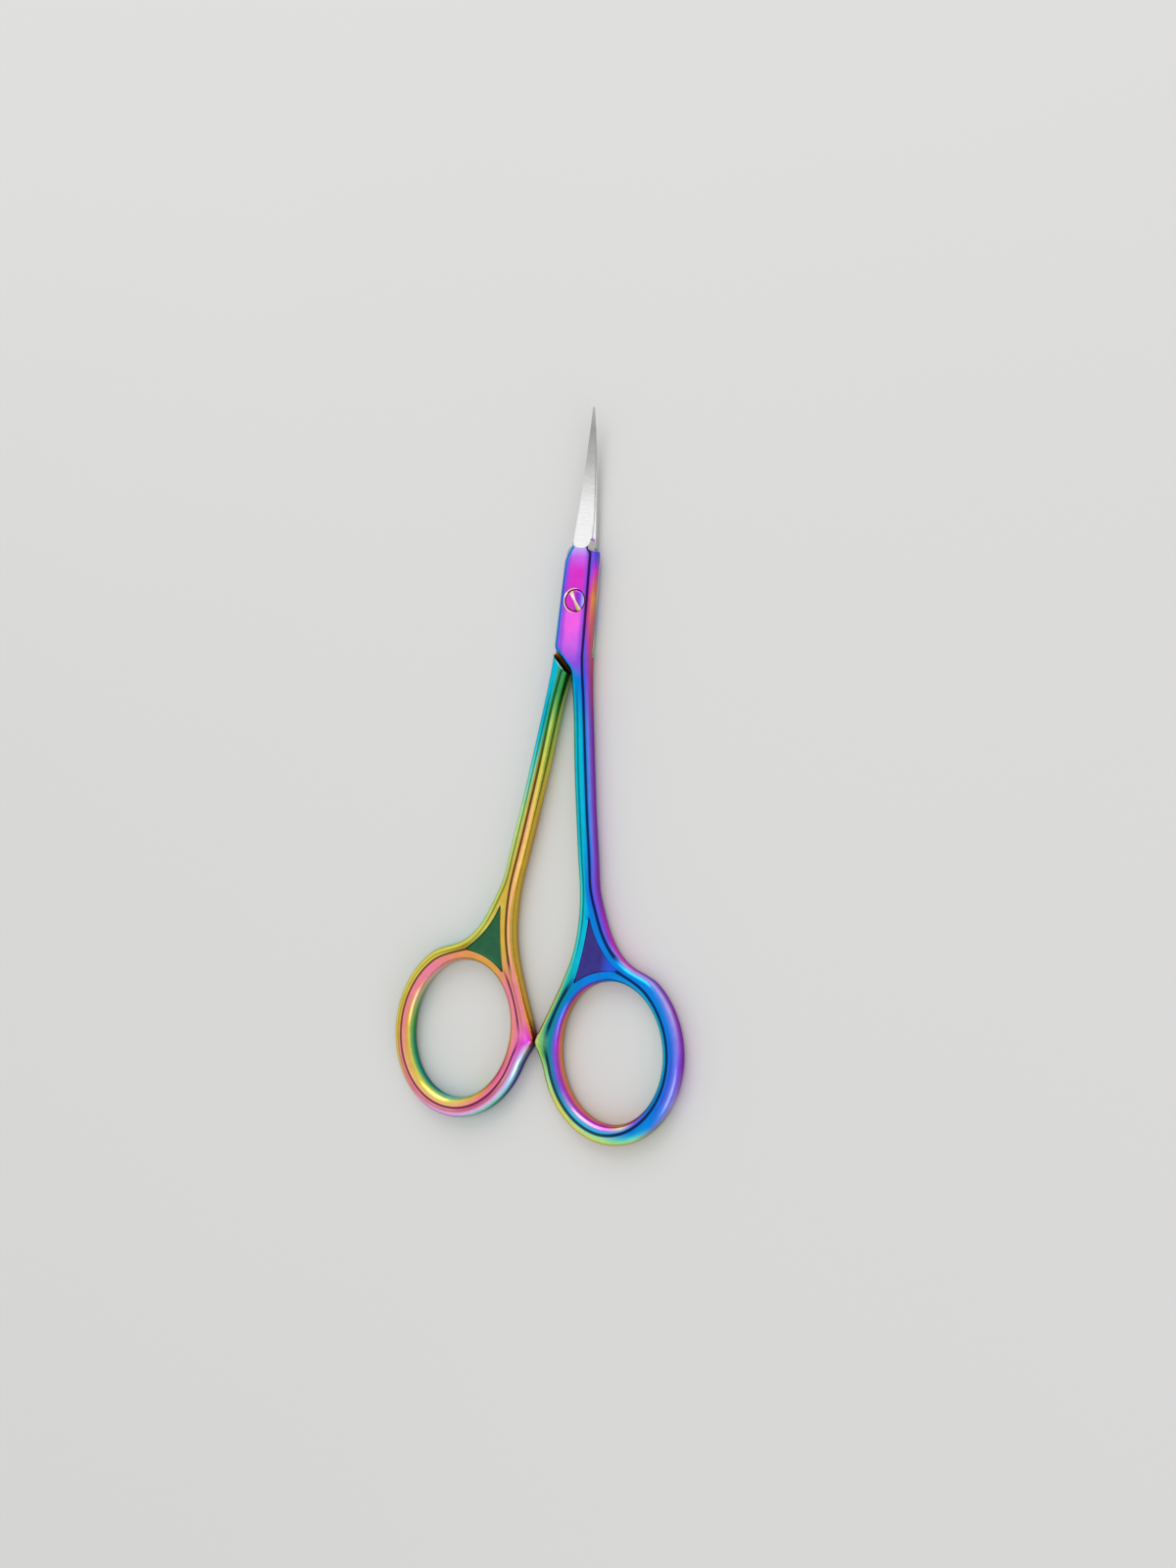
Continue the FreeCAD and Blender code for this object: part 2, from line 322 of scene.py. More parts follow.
def makeCoat(side):
    look, at = coatLook[side], coatAt
    material, tree, shader, place = startMaterial(side + "RainbowCoat")

    def painted(name, output="Fac"):
        return addNode(tree, "ShaderNodeAttribute", attribute_name=name).outputs[output]

    def along(axis, name, start=0.0, end=1.0, kind="LINEAR"):
        return between(tree, axis, at[name], start, end, kind)

    band, ring = painted("band"), painted("ring")
    way, spot = axes(tree, place["Normal"]), axes(tree, place["Object"])
    rod = product(tree, calc(tree, "SUBTRACT", 1.0, ring), span(tree, band, *at["ringRim"], 1.0, 0.0),
                  span(tree, painted("land"), *at["land"], 1.0, 0.0), along(spot["Y"], "rodEnd"))
    flat = ramp(tree, along(spot["Y"], "block"), look["flat"])   # level faces of the pivot block
    border = along(calc(tree, "ABSOLUTE", spot["X"]), "border", 0, at["borderShare"], "SMOOTHSTEP")
    flat = mixed(tree, border, flat, opaque("violet"))
    level = span(tree, calc(tree, "ABSOLUTE", way["Z"]), *at["level"], kind="SMOOTHSTEP")
    blockEnds = (look["blockStart"], look["blockStart"] + at["blockFade"])
    onBlock = between(tree, spot["Y"], blockEnds, kind="SMOOTHSTEP")
    colour = mixed(tree, product(tree, level, onBlock), painted("coat", "Color"), flat)
    upper = span(tree, way["Z"], *at["upper"])
    tinted = along(spot["Y"], "tinted")
    rodWay = calc(tree, "ADD", way["X"], along(spot["Y"], "blockTop", 0.0, look["blockShift"]))
    ringWay = calc(tree, "SUBTRACT", band, along(spot["X"], "ringSide", 0.0, look["ringShift"], "SMOOTHSTEP"))
    # The strong dark line and the softer one beside it are painted dark reflections, placed by the sideways
    # lean of the normal on rods and across the band on rings
    lines = ((rodWay, "line", ringWay, "ringLine", at["lineShare"], "darkReflectionTints"),
             (way["X"], "soft", band, "ringSoft", look["softShare"], "softReflectionTints"))
    for rodValue, rodStops, ringValue, ringStops, share, stops in lines:
        onRods = product(tree, stripe(tree, rodValue, look[rodStops]), rod)
        onRings = product(tree, stripe(tree, ringValue, look[ringStops]), ring)
        mask = product(tree, calc(tree, "ADD", onRods, onRings), upper, share)
        colour = mixed(tree, mask, colour, ramp(tree, tinted, look[stops]))
    # Thin line just outside the crown: a painted dark reflection between two highlights
    thin = product(tree, painted("crown"), at["thinShare"], upper,
                   along(spot["Y"], "thinTop", 1, 0, "SMOOTHSTEP"), along(spot["Y"], "thinLow"))
    colour = mixed(tree, thin, colour, opaque(look["crownReflectionTint"]))
    finishMaterial(tree, shader, place, colour, **finishes["coat"])
    return material


# Flat web between shank and ring
webLook = {
    # the front web lightens to blue at its outer side: a painted highlight
    "across": (5, 12), "front": ((0.0, "webBlue"), (0.3, "webIndigo"), (0.8, "webIndigo"), (1.0, "blue")),
    "back": ((0.0, "deepGreen"), (0.35, "webGreen"), (1.0, "webGreen")),
}


def makeWeb(side):
    material, tree, shader, place = startMaterial(side + "WebCoat")
    across = between(tree, calc(tree, "ABSOLUTE", axes(tree, place["Object"])["X"]), webLook["across"])
    finishMaterial(tree, shader, place, ramp(tree, across, webLook[side]), **finishes["web"])
    return material


def makePlain(name, stops, axis, places, rough):   # tints along one axis
    material, tree, shader, place = startMaterial(name)
    colour = ramp(tree, between(tree, axes(tree, place["Object"])[axis], places), stops)
    finishMaterial(tree, shader, place, colour, rough=rough, **finishes["plain"])
    return material


# Bare ground blade: lines across the blade; its greys along the blade are painted light and shade, brightest
# by the block
steelLook = {
    "along": (8, 31.1), "steep": (0.35, 0.7), "lines": (600, 9000, 600), "lineTone": (0.93, 1.05),
    "face": ((0.0, 0.96), (0.3, 0.93), (0.45, 0.74), (0.62, 0.5), (0.85, 0.36), (1.0, 0.5)),
    "front": ((0.0, 0.9), (0.4, 0.8), (0.8, 0.6), (1.0, 0.7)),
    "back": ((0.0, 0.6), (0.25, 0.66), (0.6, 0.75), (1.0, 0.9)),
}


def makeSteel(side):
    look = steelLook
    material, tree, shader, place = startMaterial(side + "Steel", glancing=1.0)
    along = between(tree, axes(tree, place["Object"])["Y"], look["along"])
    steep = span(tree, calc(tree, "ABSOLUTE", axes(tree, place["Normal"])["Z"]), *look["steep"])
    # level faces and steep walls get their own painted shading along the blade
    colour = mixed(tree, steep, ramp(tree, along, look[side]), ramp(tree, along, look["face"]))
    fine = addNode(tree, "ShaderNodeMapping", {0: place["Object"], "Scale": look["lines"]}).outputs[0]
    parts = {"Vector": fine, "Scale": 1.0, "Detail": grain["dustDetail"]}
    scratch = addNode(tree, "ShaderNodeTexNoise", parts).outputs[0]
    colour = shaded(tree, colour, span(tree, scratch, *grain["spread"], *look["lineTone"]))
    finishMaterial(tree, shader, place, colour, **finishes["steel"])
    return material


sides = ("front", "back")
coats = {side: makeCoat(side) for side in sides}
webs = {side: makeWeb(side) for side in sides}
steel = {side: makeSteel(side) for side in sides}
# Faces that the cuts leave: tints along an axis, between which places, and how rough
cutLooks = {
    # step wall: the near-black tint is a painted shadow in the gap, and the orange at its far end a painted
    # glint
    "stepWall": (((0.0, "paintedShade"), (0.75, "paintedShade"), (1.0, "orange")), "X", (0.2, -3.6), (0.3, 0.45)),
    # step edge: the chamfer's pale mint and pale cyan are a painted highlight along the edge, over the cyan
    # coat
    "stepEdge": (((0.0, "mint"), (0.6, "paleCyan"), (1.0, "cyan")), "X", (0.2, -3.6), (0.2, 0.3)),
    # sliding face: the dark brown at the step end is painted shade in the gap between the halves
    "slidingFace": (((0.0, "brown"), (0.2, "darkGold"), (0.5, "rose"), (0.8, "violet"), (0.93, "ash"),
                     (0.95, "steel")), "Y", (-11, 10), (0.3, 0.42)),
    # recess wall: the rose on the left is a painted lit side, and the dark right side painted shade
    "recessWall": (((0.0, "rose"), (0.2, "maroon"), (0.5, "paintedShade"), (1.0, "paintedShade")), "X", (-1.9, 1.9),
                   (0.35, 0.5)),
    # recess lip: the cream is a painted highlight round the counterbore's rim
    "recessLip": (((0.0, "cream"), (0.5, "cream"), (1.0, "pink")), "X", (-2, 2), (0.15, 0.25)),
}
stepWall, stepEdge, innerFace, recessWall, recessLip = (makePlain(k, *v) for k, v in cutLooks.items())
print("materials made")


# Handle of one half, as the front one lies: x to its ring, y to the tips
handle = {
    "thick": 3.2, "ringReach": 83.9, "hole": (8.95, 11.0), "bowWide": 3.2, "nubReach": 1.31, "ringTilt": 7.6,
    "nubRound": 1.3, "nubGap": 0.08, "outerMeet": -42.0, "nubMeet": 102.0,
    "shankWide": 3.1, "shankTop": (2.28, -14.5), "shank": ((0.318, 0.344), (0.642, 0.672), (0.890, 0.902)),
    "flare": (-0.543, 1.742), "outer": ((-0.326, 1.530), (-0.144, 1.206), (0.160, 0.960)),
    "inner": ((-0.813, 0.650), (-0.683, 1.016), (-0.642, 1.389)),
    "web": ((-0.458, 1.470), (-0.508, 1.037), (-0.600, 0.672), (-0.321, 0.833), (0.040, 0.889),
            (-0.265, 1.143)),
    "neck": (1.0, 10.7), "neckRound": 0.35, "shoulder": (2.98, 7.9), "shoulderRound": 1.8,
    "spineShoulder": (-2.85, 6.4), "spineNeck": (-1.2, 10.0), "spineRound": 2.6,
    "foot": (3.25, -7.9), "footRound": 1.7, "crotchSide": 0.1, "crotchRound": 2.0,
    "rodRim": 1.46, "blockRim": 1.42, "rimShare": 0.48, "fullness": 2.4, "webSink": 0.25, "webFlank": 0.2,
    "webRounding": 12, "spacing": 0.25, "rimSteps": 49, "ringSteps": 200, "nubSteps": 12, "holeSteps": 160,
    "webSteps": 24, "flankSteps": 7, "leastGap": 1e-4, "sharpest": 30,
}
# How rims change along the handle and narrow where the line bends tightly
rimEase = {
    "rodFrom": -9.0, "rodFade": 6.0, "bendShare": 0.85, "leastBend": 0.05, "spreads": 4, "widest": 3.0,
    "eases": 8, "flankShare": 0.6, "flankBend": 1e-3, "flankSpreads": 3,
}


def unit(way):
    return way / np.linalg.norm(way)


def turned(way, angle):
    c, s = math.cos(angle), math.sin(angle)
    return np.array((c * way[0] - s * way[1], s * way[0] + c * way[1]))


def cornerArc(before, here, after, size, steps=10):
    back, ahead = unit(before - here), unit(after - here)
    half = math.acos(float(back @ ahead)) / 2
    centre = here + unit(back + ahead) * size / math.sin(half)
    spoke = here + back * size / math.tan(half) - centre
    sweep = math.copysign(math.pi - 2 * half, back[1] * ahead[0] - back[0] * ahead[1])
    return [centre + turned(spoke, sweep * i / steps) for i in range(steps + 1)]


def throughPoints(points, startWay, endWay, steps=24):   # smooth line with given end directions
    points = np.array(points)
    gaps = np.linalg.norm(np.diff(points, axis=0), axis=1)
    system = np.eye(len(points))
    right = np.zeros_like(points)
    right[0], right[-1] = unit(startWay), unit(endWay)
    for i in range(1, len(points) - 1):
        a, b = 1 / gaps[i - 1], 1 / gaps[i]
        system[i, i - 1:i + 2] = a, 2 * (a + b), b
        right[i] = 3 * ((points[i] - points[i - 1]) * a * a + (points[i + 1] - points[i]) * b * b)
    slopes = np.linalg.solve(system, right)
    t = np.linspace(0, 1, steps + 1)[:, None]
    line = []
    for i, gap in enumerate(gaps):
        first = (1 + 2 * t) * (1 - t) ** 2 * points[i] + t * (1 - t) ** 2 * gap * slopes[i]
        line += list(first + t * t * (3 - 2 * t) * points[i + 1] + t * t * (t - 1) * gap * slopes[i + 1])
    return line


def averaged(values):
    return (np.roll(values, 1, axis=0) + 2 * values + np.roll(values, -1, axis=0)) / 4


def handlePaths(h):   # outline, finger hole and web
    lean = math.radians(h["ringTilt"])
    bow = np.array(h["hole"]) + h["bowWide"]
    drop = math.hypot(bow[0] * math.sin(lean), bow[1] * math.cos(lean))
    side = math.hypot(bow[0] * math.cos(lean), bow[1] * math.sin(lean))
    ringMid = np.array((h["nubReach"] + side, drop - h["ringReach"]))
    longWay = np.array((-math.sin(lean), math.cos(lean)))
    crossWay = np.array((-math.cos(lean), -math.sin(lean)))

    def byRing(shares):
        return [ringMid + np.array(s) * bow for s in shares]

    def onRing(turn, size):
        return ringMid + longWay * size[1] * math.cos(turn) + crossWay * size[0] * math.sin(turn)

    def ringHeading(turn):
        return crossWay * bow[0] * math.cos(turn) - longWay * bow[1] * math.sin(turn)

    # Shank and pivot block
    top, flare = np.array(h["shankTop"]), byRing([h["flare"]])[0]
    middle = [top] + [top + (flare - top) * np.array(s) for s in h["shank"]] + [flare]
    outerEdge = [m + (h["shankWide"] / 2, 0) for m in middle] + byRing(h["outer"])
    innerEdge = byRing(h["inner"]) + [m - (h["shankWide"] / 2, 0) for m in middle[::-1]]
    neck, shoulder, spineNeck, spineShoulder, foot = (
        np.array(h[k]) for k in ("neck", "shoulder", "spineNeck", "spineShoulder", "foot"))
    backFoot = foot * (-1, 1)
    crotch = backFoot + np.array((1, -1)) * (h["crotchSide"] + foot[0])
    # Stop nub, with straight runs from both sides that touch its round
    outerTurn, nubTurn = math.radians(h["outerMeet"]), math.radians(h["nubMeet"])
    nubMid = np.array((h["nubGap"] / 2 + h["nubRound"], ringMid[1]))
    rim, low = innerEdge[0] - nubMid, onRing(nubTurn, bow) - nubMid
    rimSpoke = turned(unit(rim), math.acos(h["nubRound"] / np.linalg.norm(rim))) * h["nubRound"]
    lowSpoke = turned(unit(low), -math.acos(h["nubRound"] / np.linalg.norm(low))) * h["nubRound"]
    nubSweep = math.atan2(lowSpoke[0] * rimSpoke[1] - lowSpoke[1] * rimSpoke[0], lowSpoke @ rimSpoke)
    # All the way round
    line = cornerArc(spineNeck, neck, shoulder, h["neckRound"])
    line += cornerArc(neck, shoulder, foot, h["shoulderRound"])
    outerEdge = [foot] + outerEdge + [onRing(outerTurn, bow)]
    line += throughPoints(outerEdge, foot - shoulder, -ringHeading(outerTurn))
    line += [onRing(t, bow) for t in np.linspace(outerTurn + 2 * math.pi, nubTurn, h["ringSteps"])]
    line += throughPoints([nubMid + low, nubMid + lowSpoke], -ringHeading(nubTurn), lowSpoke - low)
    line += [nubMid + turned(lowSpoke, nubSweep * i / h["nubSteps"]) for i in range(h["nubSteps"] + 1)]
    line += throughPoints([nubMid + rimSpoke] + innerEdge, rim - rimSpoke, crotch - innerEdge[-1])
    line += cornerArc(innerEdge[-1], crotch, backFoot, h["crotchRound"])
    line += cornerArc(crotch, backFoot, spineShoulder, h["footRound"])
    line += cornerArc(backFoot, spineShoulder, spineNeck, h["spineRound"])
    line += cornerArc(spineShoulder, spineNeck, neck, h["neckRound"])
    hole = [onRing(-t, h["hole"]) for t in np.linspace(0, 2 * math.pi, h["holeSteps"], endpoint=False)]
    corners = byRing(h["web"])
    web = []
    ends = corners[2::2] + corners[:1]
    for a, m, b in zip(corners[0::2], corners[1::2], ends):   # arcs through the middles
        bulge = 2 * m - (a + b) / 2
        for t in np.linspace(0, 1, h["webSteps"], endpoint=False):
            web.append(a * (1 - t) ** 2 + bulge * 2 * t * (1 - t) + b * t * t)
    web = clean(web)
    for _ in range(h["webRounding"]):   # eases the three sharp corners
        web = averaged(web)
    return clean(line)[::-1], clean(hole), web


def clean(line):   # no doubled points, evenly spaced
    line = np.array(line)
    line = line[np.linalg.norm(line - np.roll(line, 1, axis=0), axis=1) > handle["leastGap"]]
    loop = np.vstack([line, line[:1]])
    reach = np.concatenate([[0], np.cumsum(np.linalg.norm(np.diff(loop, axis=0), axis=1))])
    marks = np.linspace(0, reach[-1], int(reach[-1] / handle["spacing"]), endpoint=False)
    return np.stack([np.interp(marks, reach, loop[:, i]) for i in (0, 1)], axis=1)


def signedArea(line):
    after = np.roll(line, -1, axis=0)
    return float((line[:, 0] * after[:, 1] - line[:, 1] * after[:, 0]).sum() / 2)


def wound(line, rim, way):
    return (line, rim) if signedArea(line) * way > 0 else (line[::-1], rim[::-1])


def nearest(spots, line, chunk=4000):
    index, reach = np.empty(len(spots), int), np.empty(len(spots))
    for start in range(0, len(spots), chunk):
        part = slice(start, start + chunk)
        apart = ((spots[part, None, :] - line[None]) ** 2).sum(axis=2)
        index[part] = apart.argmin(axis=1)
        reach[part] = np.sqrt(apart.min(axis=1))
    return index, reach


def passedOn(values, rounds, pick):   # neighbours take on the lower or the higher value
    for _ in range(rounds):
        values = pick(values, pick(np.roll(values, 1), np.roll(values, -1)))
    return values


def rimSizes(line, other):   # rods are rounder than the pivot block; two rims never meet across the ring
    share = np.clip((rimEase["rodFrom"] - line[:, 1]) / rimEase["rodFade"], 0, 1)
    share = share * share * (3 - 2 * share)
    size = handle["blockRim"] + (handle["rodRim"] - handle["blockRim"]) * share
    size = np.minimum(size, nearest(line, other)[1] * handle["rimShare"])
    return np.minimum(size, tightSizes(line))


def tightSizes(line):   # how far a rim may reach in where the line bends tightly, eased along the line
    before, after = line - np.roll(line, 1, axis=0), np.roll(line, -1, axis=0) - line
    gap = np.linalg.norm(after, axis=1)
    bend = (before[:, 0] * after[:, 1] - before[:, 1] * after[:, 0]) / gap ** 3
    bend = bend * math.copysign(1, signedArea(line))
    size = rimEase["bendShare"] / np.maximum(bend, rimEase["leastBend"])
    size = np.minimum(passedOn(size, rimEase["spreads"], np.minimum), rimEase["widest"])
    for _ in range(rimEase["eases"]):
        size = np.minimum(size, averaged(size))
    return size


def flankSizes(line):   # narrower where the web's corner is tight
    before, after = np.roll(line, 1, axis=0), np.roll(line, -1, axis=0)
    gap = np.linalg.norm(after - line, axis=1)
    bend = np.linalg.norm(before - 2 * line + after, axis=1) / gap ** 2
    bend = passedOn(bend, rimEase["flankSpreads"], np.maximum)
    return np.minimum(handle["webFlank"], rimEase["flankShare"] / np.maximum(bend, rimEase["flankBend"]))


outline, holeLine, webLine = handlePaths(handle)
outlineRim, holeRim, webRim = rimSizes(outline, holeLine), rimSizes(holeLine, outline), flankSizes(webLine)
print("handle outline", len(outline), "hole", len(holeLine), "web", len(webLine))


def makeHandleTree():   # forged handle: a full round rim round outline and hole, level lands, sunk web
    tree = bpy.data.node_groups.new("forgedHandle", "GeometryNodeTree")
    tree.interface.new_socket("Geometry", in_out="OUTPUT", socket_type="NodeSocketGeometry")
    sockets = {"Paths": "Object", "Half thickness": "Float", "Fullness": "Float", "Rim steps": "Int",
               "Web sink": "Float", "Coat": "Material", "Web coat": "Material"}
    for name, kind in sockets.items():
        tree.interface.new_socket(name, in_out="INPUT", socket_type="NodeSocket" + kind)
    given = tree.nodes.new("NodeGroupInput").outputs
    half, sink = given["Half thickness"], given["Web sink"]
    rimCurves = 2   # outline and hole come before the web
    weldReach = 2e-6

    def changed(kind, parts, **settings):
        return addNode(tree, "GeometryNode" + kind, parts, **settings).outputs[0]

    def store(geometry, name, value, kind="FLOAT", domain="POINT"):
        parts = {"Geometry": geometry, "Name": name, "Value": value}
        return changed("StoreNamedAttribute", parts, data_type=kind, domain=domain)

    def stored(name, kind="FLOAT"):
        return changed("InputNamedAttribute", {"Name": name}, data_type=kind)

    def placed(geometry, where):
        return changed("SetPosition", {"Geometry": geometry, "Position": where})

    def raised(height):
        return addNode(tree, "ShaderNodeCombineXYZ", {"Z": height}).outputs[0]

    def joined(*parts):
        node = tree.nodes.new("GeometryNodeJoinGeometry")
        for part in parts:
            tree.links.new(part, node.inputs[0])
        return node.outputs[0]

    def profile(steps):
        line = changed("CurvePrimitiveLine", {})
        line = changed("ResampleCurve", {"Curve": line, "Count": steps}, mode="COUNT")
        return store(line, "turn", tree.nodes.new("GeometryNodeSplineParameter").outputs["Factor"])

    def filled(curve, level):   # the fill lies at zero height until it is lifted
        mesh = changed("FillCurve", {"Curve": curve}, mode="TRIANGLES")
        return changed("SetPosition", {"Geometry": mesh, "Offset": raised(level)})

    def sweep(curve, steps, where):
        return placed(changed("CurveToMesh", {"Curve": curve, "Profile Curve": profile(steps)}), where)

    paths = addNode(tree, "GeometryNodeObjectInfo", {"Object": given["Paths"]}).outputs["Geometry"]
    paths = changed("SetCurveNormal", {"Curve": paths}, mode="Z_UP")
    paths = store(paths, "base", changed("InputPosition", {}), "FLOAT_VECTOR")
    paths = store(paths, "side", changed("InputNormal", {}), "FLOAT_VECTOR")
    paths = store(paths, "rim", changed("InputRadius", {}))
    isRim = calc(tree, "LESS_THAN", changed("InputIndex", {}), rimCurves - 0.5)
    parts = {"Geometry": paths, "Selection": isRim}
    parted = addNode(tree, "GeometryNodeSeparateGeometry", parts, domain="CURVE").outputs
    rims, web = parted[0], parted[1]
    base, side, rim = stored("base", "FLOAT_VECTOR"), stored("side", "FLOAT_VECTOR"), stored("rim")

    def across(size):   # points of a path moved sideways
        return added(tree, base, scaled(tree, side, size))

    share = stored("turn")
    turn = product(tree, share, math.pi)
    cosine, sine = calc(tree, "COSINE", turn), calc(tree, "SINE", turn)
    power = calc(tree, "DIVIDE", 2.0, given["Fullness"])
    outward = calc(tree, "POWER", calc(tree, "MAXIMUM", sine, 0.0), power)
    upward = calc(tree, "POWER", calc(tree, "ABSOLUTE", cosine), power)
    upward = product(tree, upward, calc(tree, "SIGN", cosine))
    inset = product(tree, rim, calc(tree, "SUBTRACT", outward, 1.0))
    rimPlace = added(tree, across(inset), raised(product(tree, upward, half)))
    roundRim = sweep(rims, given["Rim steps"], rimPlace)
    inward = product(tree, rim, -1.0)
    land = filled(joined(placed(rims, across(inward)), web), half)
    dip = product(tree, calc(tree, "SUBTRACT", 1.0, cosine), 0.5)
    flankLevel = calc(tree, "SUBTRACT", half, product(tree, sink, dip))
    flankPlace = added(tree, across(product(tree, inward, share)), raised(flankLevel))
    flank = sweep(web, handle["flankSteps"], flankPlace)
    webFloor = filled(placed(web, across(inward)), calc(tree, "SUBTRACT", half, sink))
    sunk = store(joined(flank, webFloor), "sunk", 1.0, domain="FACE")   # marks the web for its own coat
    topSide = joined(land, sunk)
    under = changed("Transform", {"Geometry": topSide, "Scale": (1, 1, -1)})
    whole = changed("MergeByDistance", {"Geometry": joined(topSide, under, roundRim), "Distance": weldReach})
    rounded = changed("SetShadeSmooth", {"Geometry": whole})
    lifted = changed("SetPosition", {"Geometry": rounded, "Offset": raised(half)})
    real = changed("RealizeInstances", {"Geometry": lifted})
    coated = changed("SetMaterial", {"Geometry": real, "Material": given["Coat"]})
    isWeb = calc(tree, "GREATER_THAN", stored("sunk"), 0.5)
    webbed = changed("SetMaterial", {"Geometry": coated, "Selection": isWeb, "Material": given["Web coat"]})
    tree.links.new(webbed, tree.nodes.new("NodeGroupOutput").inputs[0])
    return tree


handleTree = makeHandleTree()


def makeForging(name, sign, coat, web):
    curve = bpy.data.curves.new(name + "Paths", "CURVE")
    curve.dimensions = "3D"
    for line, rim, way in ((outline, outlineRim, 1), (holeLine, holeRim, -1), (webLine, webRim, 1)):
        line, rim = wound(line * (sign, 1), rim, way)
        spline = curve.splines.new("POLY")
        spline.points.add(len(line) - 1)
        flat = np.zeros((len(line), 4))
        flat[:, :2] = line * mm
        flat[:, 3] = 1
        spline.points.foreach_set("co", flat.ravel())
        spline.points.foreach_set("radius", rim * mm)
        spline.use_cyclic_u = True
    paths = link(name + "Paths", curve)
    piece = link(name, bpy.data.meshes.new(name))
    maker = piece.modifiers.new("forgedHandle", "NODES")
    maker.node_group = handleTree
    values = {"Paths": paths, "Half thickness": handle["thick"] / 2 * mm, "Fullness": handle["fullness"],
              "Rim steps": handle["rimSteps"], "Web sink": handle["webSink"] * mm, "Coat": coat,
              "Web coat": web}
    for socket in handleTree.interface.items_tree:
        if socket.in_out == "INPUT":
            maker[socket.identifier] = values[socket.name]
    settle(piece)
    bpy.data.objects.remove(paths)
    loose = rework(piece.data, faceOut)
    print(name, "faces", len(piece.data.polygons), "open edges", loose)
    return piece


# The other half's room: slanting step with a chamfered edge, and the face that slides on the other half
step = {"gap": 0.6, "halfGap": 0.1, "chamfer": 0.1, "far": 60.0, "over": 1.0}


def layerCutter(sign):
    slant = math.sqrt(0.5)
    foot, mid = handle["foot"], handle["thick"] / 2
    way, out = Vector((-sign * slant, -slant, 0)), Vector((sign * slant, -slant, 0))
    start = Vector((sign * foot[0], foot[1], mid)) + out * step["gap"]
    chamfer, far, over = step["chamfer"], step["far"], step["over"]
    face, end = sign * step["halfGap"] / 2, -sign * (mid + over)
    profile = [(0, face), (0, sign * (chamfer - mid)), (-chamfer - over, end), (far, end), (far, face)]
    loops = [[start - out * a + way * e + Vector((0, 0, z)) for a, z in profile] for e in (-far, far)]
    return loft("layerRoom", loops, (stepWall, stepEdge, innerFace), [0, 1, 2, 2, 2, 2, 2])


# Rounded start of the ground blade
runOut = {
    "middle": 0.12, "halfWide": 1.36, "bottom": 8.55, "tall": 1.3, "squareness": 0.62, "slope": 0.16,
    "end": 13.0, "floor": -0.3, "floorIn": -0.12, "over": 0.4, "steps": 33,
}


def runOutCutter(sign):
    r, mid = runOut, handle["thick"] / 2
    loops = []
    for z, wider in ((r["floor"], r["floorIn"]), (mid + r["over"], r["slope"])):
        wide, tall = r["halfWide"] + wider, r["tall"] + wider
        line = []
        for t in np.linspace(math.pi, 2 * math.pi, r["steps"]):
            c, s = math.cos(t), math.sin(t)
            x = math.copysign(abs(c) ** r["squareness"], c) * wide
            line.append((x, r["bottom"] + r["tall"] - abs(s) ** r["squareness"] * tall))
        line += [(wide, r["end"]), (-wide, r["end"])]
        loops.append([(sign * (x + r["middle"]), y, mid + sign * z) for x, y in line])
    return loft("runOut", loops, (steel["front"],))


# Second ground face at the front blade's root, on the edge side, ending in the round of the wheel
sideGrind = {"top": 1.42, "lean": 14.0, "bottom": 8.0, "wheel": 0.75, "deep": 3.0, "end": 13.0,
             "reach": (-4.0, 2.0), "steps": 13}


def sideGrindCutter():
    g, mid = sideGrind, handle["thick"] / 2
    out = turned(np.array((1, 0)), math.radians(g["lean"]))
    up = turned(out, math.pi / 2)
    line = [(g["end"], 0)]
    for t in np.linspace(0, math.pi / 2, g["steps"]):
        line.append((g["bottom"] + g["wheel"] * (1 - math.sin(t)), g["wheel"] * (1 - math.cos(t))))
    line += [(g["bottom"], g["deep"]), (g["end"], g["deep"])]
    loops = []
    for reach in g["reach"]:
        places = [(y, np.array((g["top"], mid)) + out * depth + up * reach) for y, depth in line]
        loops.append([(x, y, mid + z) for y, (x, z) in places])
    return loft("sideGrind", loops, (steel["back"],))


# Blade of one half: ground face from a tall spine down to a thin edge, curving up to the tip
blade = {
    "root": 8.5, "tip": 30.95, "neck": 3.9, "tipWide": 0.14, "bendStart": 9.0, "tipRise": 1.2, "gap": 0.03,
    "spineTall": (1.15, 0.32), "rootTall": 0.22, "rootFade": 0.3, "sway": 0.2, "edgeTall": (0.3, 0.16),
    "shareFrom": 7.6, "along": (0.0, 0.1, 0.23, 0.4, 0.6, 0.8, 1.0),
    "spine": (0.82, 0.83, 0.73, 0.57, 0.40, 0.22, 0.0), "edge": (0.54, 0.55, 0.58, 0.47, 0.34, 0.19, 0.0),
    "rows": 90, "sharpest": 28, "hollow": 0.05, "hollowAt": (0.2, 0.35, 0.5, 0.65, 0.8),
    "corner": 0.14, "cornerShare": 0.3, "cornerCut": 0.3, "cornerDrop": (0.18, 0.7),
    "bevel": ((0.02, 0.85), (0.05, 1.0)), "edgeRound": 0.2, "hidden": 0.02, "hiddenTo": 11.0,
    "hiddenFade": 0.6,
}


def smoothShares(shares):
    along = blade["along"]
    startWay = np.array((1, (shares[1] - shares[0]) / (along[1] - along[0])))
    endWay = np.array((1, (shares[-1] - shares[-2]) / (along[-1] - along[-2])))
    return np.array(throughPoints(list(zip(along, shares)), startWay, endWay)).T


